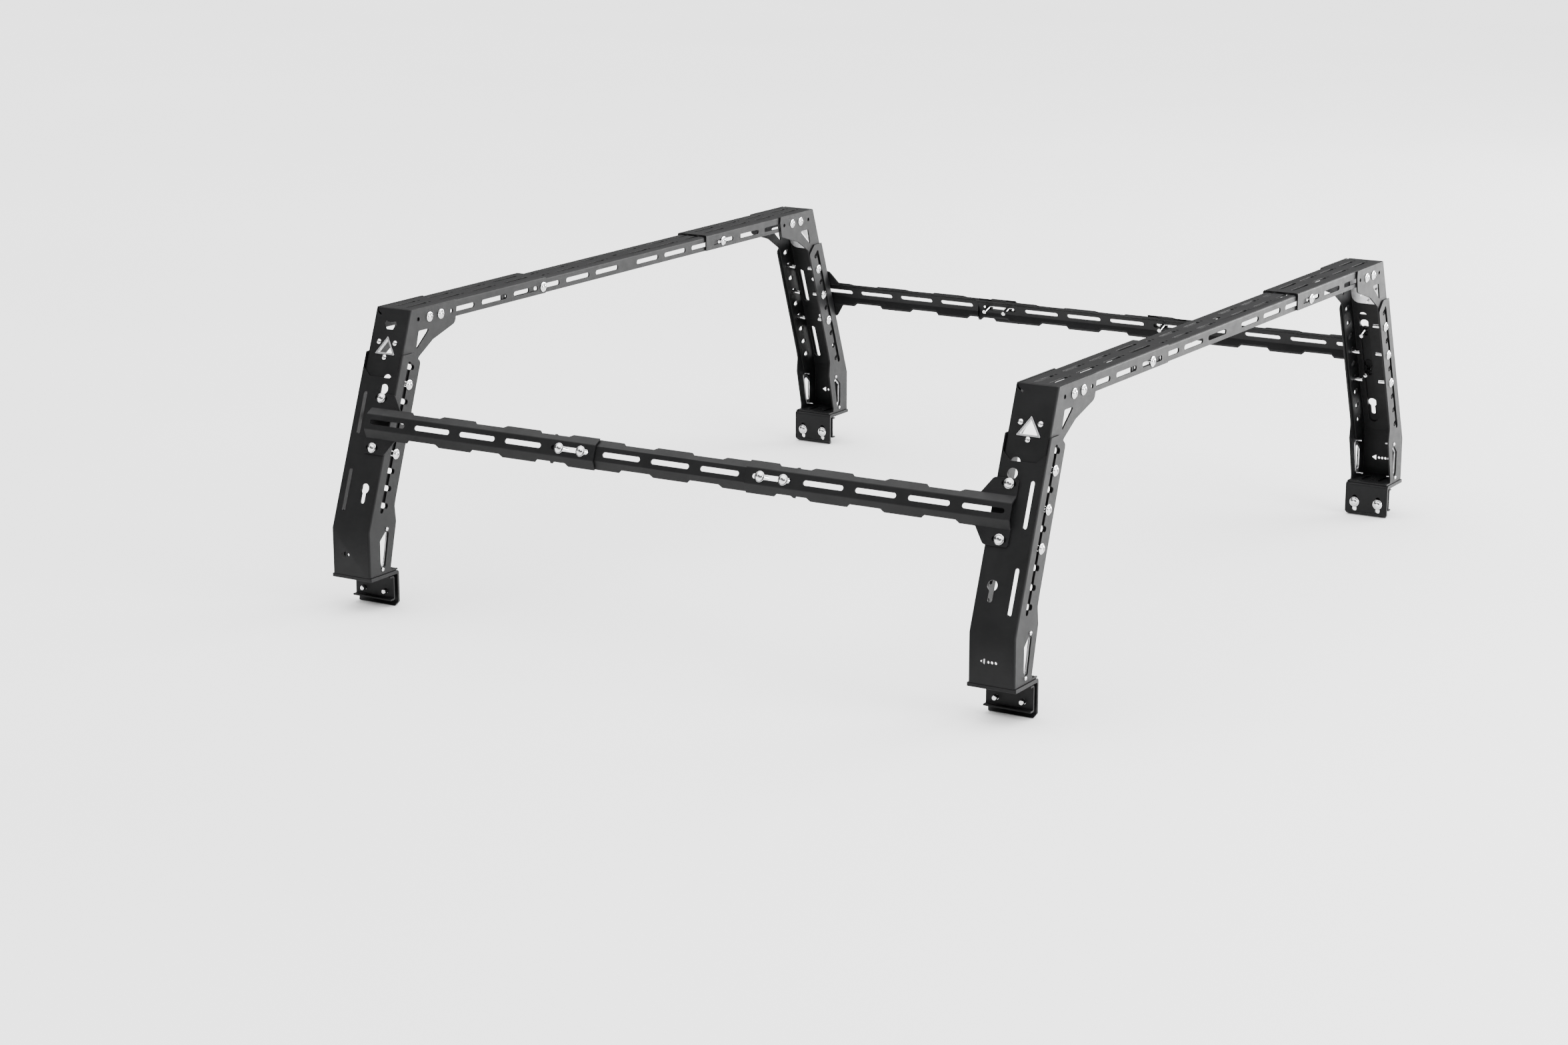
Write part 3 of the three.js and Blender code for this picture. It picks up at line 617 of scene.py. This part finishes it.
def flange_spots(outline_points, half):
    """Places for bolts on both flanges, heads outwards, at points of the flange's plane."""
    places = []
    for y, z in outline_points:
        places.append(spot(SIDE, y, z, half))
        places.append(spot(SIDE_BACK, y, -z, half))
    return places


# ------------------------------------------------------------------ crossbars
def channel_bar(half, top, start, finish, side_holes, top_holes, corner):
    """Open-bottomed channel along y, cut through its sides and its top."""
    low = BAR_TOP - BAR_SKIRT
    outline = [(start, top), (finish, top), (finish, low), (start, low)]
    radii = [0, 0, corner, corner]
    shell = mesh_of(prism(rounded(outline, radii), -half, half, SIDE, BEND, 1))
    inner = [(start - OVER, top - SHEET), (finish + OVER, top - SHEET),
             (finish + OVER, low - OVER), (start - OVER, low - OVER)]
    shell = cut(shell, prism(inner, -half + SHEET, half - SHEET, SIDE, BEND - SHEET, 1))
    wide = half + 10
    shell = cut(shell, *[prism(hole, -wide, wide, SIDE) for hole in side_holes])
    return cut(shell, *[prism(hole, top - 9, top + 6, FLAT) for hole in top_holes])


def side_slot(centre, extra=0):
    """Slot in a bar's sides, longer by `extra` at its left end."""
    start = centre - SLOT_LONG / 2 - extra
    return slot(start, centre + SLOT_LONG / 2, BAR_SLOT, SLOT_WIDE)


def top_row(start, length=57.0, hole=True):
    """A pair of slots along the bar's top, each followed by a small round hole."""
    shapes = []
    for x in (-12, 12):
        shapes.append(slot(start, start + length, x, 6.2, True))
        if hole:
            shapes.append(disc(x, start + length + 10, 2.6, 16))
    return shapes


# From the middle of the bar.
SLEEVE_SLOTS = (330, 425.5, 521)
SLEEVE_END, SLEEVE_ROOT = 268.5, 665.0
MIDDLE_HALF = 400.0
SPLICE_BOLT = 330.0
FRONT_LEFT_BOLT = 277.5  # the front bar's left one, in a round hole of the sleeve


def bar_sleeve(side, bolt_hole):
    holes = [side_slot(side * c) for c in SLEEVE_SLOTS]
    if bolt_hole:
        holes.append(disc(side * FRONT_LEFT_BOLT, BAR_SLOT, 4.5))
    starts = (-652, -557.5, -463) if side < 0 else (390, 484, 577.5)
    tops = [shape for start in starts for shape in top_row(start)]
    tops += top_row(-367 if side < 0 else 294, 69, False)
    ends = sorted((side * SLEEVE_END, side * SLEEVE_ROOT))
    return channel_bar(SLEEVE_HALF, BAR_TOP, *ends, holes, tops, 3)


def bar_middle(bolt_hole):
    """Middle section. With the bolt hole, the slot behind it is longer to let its bolt through."""
    behind, extra = 258, 7
    holes = []
    for centre in (68, 163, behind, 353):
        holes.append(side_slot(centre))
        holes.append(side_slot(-centre, extra if bolt_hole and centre == behind else 0))
    tops = [shape for start in (-300, -205, -109.5) for shape in top_row(start)]
    tops += [shape for start in (33, 128.5, 224) for shape in top_row(start)]
    tops.append(slot(-16, 6, 0, 7, True))
    nested = SHEET + GAP
    return channel_bar(
        SLEEVE_HALF - nested, BAR_TOP - nested, -MIDDLE_HALF, MIDDLE_HALF, holes, tops, 3)


# ------------------------------------------------------------------ side rails
RAIL_FACE = 14.0  # outwards from the posts' webs
RAIL_LOW, RAIL_HIGH = 174.5, 200.8  # edges of that face, along the posts
RAIL_SLOT = (RAIL_LOW + RAIL_HIGH) / 2
RAIL_SPLICE = 145.0  # inner end of an end section, from the rail's middle
RAIL_MIDDLE = 236.0  # half the length of the middle section
RAIL_SPLICE_BOLTS = (172, 215)


def bent_section(line, near, radius):
    """Closed cross-section of sheet bent along a line: one side at near, the other a sheet below."""
    fillet = rounded(line, [0, radius, radius, 0], 6)

    def offset(distance):
        made = []
        for i, here in enumerate(fillet):
            before = Vector(fillet[max(i - 1, 0)])
            after = Vector(fillet[min(i + 1, len(fillet) - 1)])
            along = (after - before).normalized()
            made.append((here[0] - along.y * distance, here[1] + along.x * distance))
        return made

    return offset(near) + offset(near - SHEET)[::-1]


def hat_rail(start, finish, nested, centres, scallops):
    """Hat section along the rail, with slots at centres and its free edges cut back at scallops."""
    line = [(152, -4), (RAIL_LOW, RAIL_FACE), (RAIL_HIGH, RAIL_FACE), (221.2, -4)]
    near = -SHEET - GAP if nested else 0
    rail = mesh_of(prism(bent_section(line, near, BEND), start, finish, RAIL_LANE))
    face = RAIL_FACE + near
    half = SLOT_LONG / 2
    slots = [slot(c - half, c + half, RAIL_SLOT, SLOT_WIDE) for c in centres]
    rail = cut(rail, *[prism(shape, face - 8, face + 6, LEANING) for shape in slots])
    # The free edges stand clear of the posts' webs.
    foot, back = (-0.2, 3.2) if nested else (2.4, 6.0)
    under = [(start - 9, -12), (start - 9, foot)]
    for centre in sorted(scallops):
        under += [(centre - 33, foot), (centre - 27, back), (centre + 27, back),
                  (centre + 33, foot)]
    under += [(finish + 9, foot), (finish + 9, -12)]
    return cut(rail, prism(under, -240, -130, ALONG_RAIL))


def rail_tab(end, edge, tip):
    """Foot of a rail on its post's web. Its slot for the bolt is cut in rail_end."""
    outline = [(1.2, edge), (1.2, tip), (-41.5, tip), (-60, edge + (tip - edge) * 0.11), (-60, edge)]
    placed = [(end * (HALF_LENGTH + x), y) for x, y in outline]
    return prism(rounded(placed, [0, 5, 9, 4, 0]), GAP, GAP + SHEET, LEANING)


def rail_end(end):
    centres = [end * (570 - 94 * i) for i in range(5)]
    span = sorted((end * (HALF_LENGTH + 1.2), end * RAIL_SPLICE))
    rail = hat_rail(*span, False, centres, [end * c for c in (496, 364, 231)])
    rail = join(rail, rail_tab(end, 209.5, 239), rail_tab(end, 164.5, 134))
    half_long, wide = 12.5, 8
    bolt_line = end * (HALF_LENGTH + RAIL_BOLT_SIDE)
    slots = [slot(bolt_line - half_long, bolt_line + half_long, s, wide) for s in RAIL_BOLTS]
    return cut(rail, *[prism(shape, -4, 9, LEANING) for shape in slots])


def rail_middle():
    centres = [94.4 * i for i in range(-2, 3)]
    return hat_rail(-RAIL_MIDDLE, RAIL_MIDDLE, True, centres, [-198, -66, 66, 198])


# ------------------------------------------------------------------ assembly
HEIGHT_BOLT_NOTCHES = (1, 3, 5)
OPEN_NOTCH = {"rr": 1}  # the bolt left out of a leg's list: the top one of its inner flange


def build_leg(key, end, side):
    place = leg_place(end, side)
    lower, upper, clamp = f"lower_{key}", f"upper_{key}", f"clamp_{key}"
    piece(f"skin_lower_{key}", lower_post(key, end), place, lower, COAT,
          [f"lower_post_{key}"])
    piece(f"floor_plate_{key}", floor_plate(), place, lower, COAT)
    piece(f"skin_upper_{key}", upper_post(end), place, upper, COAT,
          [f"upper_post_{key}"])
    piece(f"ring_{key}", triangle_ring(), place, upper, TRIM, [f"triangle_trim_{key}"])
    piece(f"ring_back_{key}", triangle_back(), place, upper, TRIM)
    piece(f"bracket_{key}", base_bracket(), place, lower, COAT, [f"base_bracket_{key}"])
    piece(f"channel_{key}", clamp_channel(), place, clamp, COAT,
          [f"clamp_channel_{key}"])
    for face, word in ((1, "outer"), (-1, "inner")):
        piece(f"kite_trim_{word}_{key}", kite_trim(face), place, lower, TRIM, edge=0.7)
    kite_spots = flange_spots(KITE_SCREWS, POST_HALF)
    bolt_piece(f"kite_screws_{key}", "kite_screw", kite_spots, place, lower)
    ring_spots = [spot(LEANING, x, s, -UPPER_IN + 0.05) for x, s in RING_SCREWS]
    bolt_piece(f"ring_screws_{key}", "ring_screw", ring_spots, place, upper)
    levels = [leaning(NOTCH_TOP - i * PITCH, BOLT_DEPTH) for i in HEIGHT_BOLT_NOTCHES]
    height_spots = flange_spots(levels, POST_HALF)
    if key in OPEN_NOTCH:
        del height_spots[OPEN_NOTCH[key]]
    bolt_piece(f"skin_height_bolts_{key}", "height", height_spots, place, lower,
               [f"height_bolts_{key}_outer", f"height_bolts_{key}_inner"])
    end_spots = [spot(LEANING, RAIL_BOLT_SIDE, s, GAP + SHEET) for s in RAIL_BOLTS]
    bolt_piece(f"skin_rail_end_bolts_{key}", "rail_end", end_spots, place, lower,
               [f"rail_end_bolts_{key}"])
    corner = [(HALF_WIDTH - y, BAR_SLOT) for y in CORNER_BOLTS]
    bolt_piece(f"skin_corner_bolts_{key}", "corner", flange_spots(corner, UPPER_HALF), place,
               upper, [f"corner_bolts_{key}"])
    nuts = [spot(INBOARD, s * CLAMP_SIDE, CLAMP_HEIGHT, HANG) for s in (-1, 1)]
    bolt_piece(f"skin_clamp_bolts_{key}", "clamp", nuts, place, clamp, [f"clamp_bolts_{key}"])


def build_bar(name, end):
    front = end < 0
    place = Matrix.Translation((end * HALF_LENGTH, 0, BED))
    letter = name[0]
    piece(f"skin_{name}_bar_left", bar_sleeve(-1, front), place, f"upper_l{letter}", COAT,
          [f"{name}_bar_left_sleeve"])
    piece(f"skin_{name}_bar_middle", bar_middle(front), place, f"{name}_mid", COAT,
          [f"{name}_bar_middle"])
    piece(f"skin_{name}_bar_right", bar_sleeve(1, False), place, f"upper_r{letter}", COAT,
          [f"{name}_bar_right_sleeve"])
    left, left_body = (FRONT_LEFT_BOLT, "upper_lf") if front else (SPLICE_BOLT, "rear_mid")
    left_spots = flange_spots([(-left, BAR_SLOT)], SLEEVE_HALF)
    bolt_piece(f"skin_{name}_bar_left_bolts", "bar", left_spots, place, left_body,
               [f"{name}_bar_left_bolts"])
    right_spots = flange_spots([(SPLICE_BOLT, BAR_SLOT)], SLEEVE_HALF)
    bolt_piece(f"skin_{name}_bar_right_bolts", "bar", right_spots, place, f"{name}_right_splice",
               [f"{name}_bar_right_bolts"])


def build_rail(name, side):
    place = Matrix.Translation((0, side * HALF_WIDTH, BED)) @ Matrix.Diagonal((1, -side, 1, 1))
    letter = name[0]
    for word, end in (("front", -1), ("rear", 1)):
        piece(f"skin_{name}_rail_{word}", rail_end(end), place, f"lower_{letter}{word[0]}",
              COAT, [f"{name}_rail_{word}"])
        spots = [spot(LEANING, end * x, RAIL_SLOT, RAIL_FACE) for x in RAIL_SPLICE_BOLTS]
        bolt_piece(f"skin_{name}_rail_{word}_bolts", "rail", spots, place, f"{name}_rail_mid",
                   [f"{name}_rail_{word}_bolts"])
    piece(f"skin_{name}_rail_middle", rail_middle(), place, f"{name}_rail_mid", COAT,
          [f"{name}_rail_middle"])


for key, (end, side) in LEGS.items():
    build_leg(key, end, side)
build_bar("front", -1)
build_bar("rear", 1)
build_rail("left", -1)
build_rail("right", 1)


# ------------------------------------------------------------------ studio
def studio_floor(half):
    mesh = bpy.data.meshes.new("floor")
    corners = [(x, y, 0) for x, y in rectangle(-half, -half, half, half)]
    mesh.from_pydata(corners, [], [(0, 1, 2, 3)])
    floor = bpy.data.objects.new("floor", mesh)
    bpy.context.scene.collection.objects.link(floor)
    made, nodes, links, shader = new_material("floor")
    _, tone = noise(nodes, links, scale=0.7, detail=2.0)
    tinted(nodes, links, shader, tone, (0.86, 0.86, 0.86), (0.89, 0.89, 0.89))
    shader.inputs["Roughness"].default_value = 0.7
    mesh.materials.append(made)


def soft_light(name, place, target, size, power):
    """Rectangular light aimed at a target: metres and watts."""
    data = bpy.data.lights.new(name, "AREA")
    data.shape = "RECTANGLE"
    data.size, data.size_y = size
    data.energy = power
    light = bpy.data.objects.new(name, data)
    bpy.context.scene.collection.objects.link(light)
    light.location = place
    light.rotation_mode = "QUATERNION"
    aim = Vector(target) - Vector(place)
    light.rotation_quaternion = aim.to_track_quat("-Z", "Y")


def studio_sky(horizon, overhead, rise_from, rise_to):
    """Soft white sky, dim at the horizon and bright overhead.

    Its strength goes from one to the other between two heights, as sines of the elevation.
    """
    world = bpy.data.worlds.new("studio")
    world.use_nodes = True
    nodes, links = world.node_tree.nodes, world.node_tree.links
    where = nodes.new("ShaderNodeTexCoord")
    split = nodes.new("ShaderNodeSeparateXYZ")
    links.new(where.outputs["Generated"], split.inputs["Vector"])
    rise = nodes.new("ShaderNodeMapRange")
    rise.interpolation_type = "SMOOTHSTEP"
    rise.inputs["From Min"].default_value = rise_from
    rise.inputs["From Max"].default_value = rise_to
    rise.inputs["To Min"].default_value = horizon
    rise.inputs["To Max"].default_value = overhead
    links.new(split.outputs["Z"], rise.inputs["Value"])
    links.new(rise.outputs["Result"], nodes["Background"].inputs["Strength"])
    nodes["Background"].inputs["Color"].default_value = (1, 1, 1, 1)
    bpy.context.scene.world = world


def set_camera(place, gaze, lens, sensor):
    """Camera at a place, in metres, looking along gaze; lens and sensor are in millimetres."""
    camera = bpy.data.cameras.new("camera")
    camera.lens = lens
    camera.sensor_width = sensor
    viewer = bpy.data.objects.new("camera", camera)
    bpy.context.scene.collection.objects.link(viewer)
    viewer.location = place
    viewer.rotation_mode = "QUATERNION"
    viewer.rotation_quaternion = Vector(gaze).to_track_quat("-Z", "Y")
    bpy.context.scene.camera = viewer


studio_floor(half=40.0)
studio_sky(horizon=0.1, overhead=5.6, rise_from=0.32, rise_to=0.95)
soft_light("back_right", place=(3.6, 5.4, 1.3), target=(0, 0, 0.25), size=(4.5, 2.6), power=800)
soft_light("tailgate_side", place=(5.5, -0.5, 1.8), target=(0, 0, 0.3), size=(3.0, 2.0), power=360)
set_camera(
    place=(2.7904, -4.9848, 1.5067), gaze=(-0.5039, 0.8283, -0.2449), lens=74.38, sensor=36)
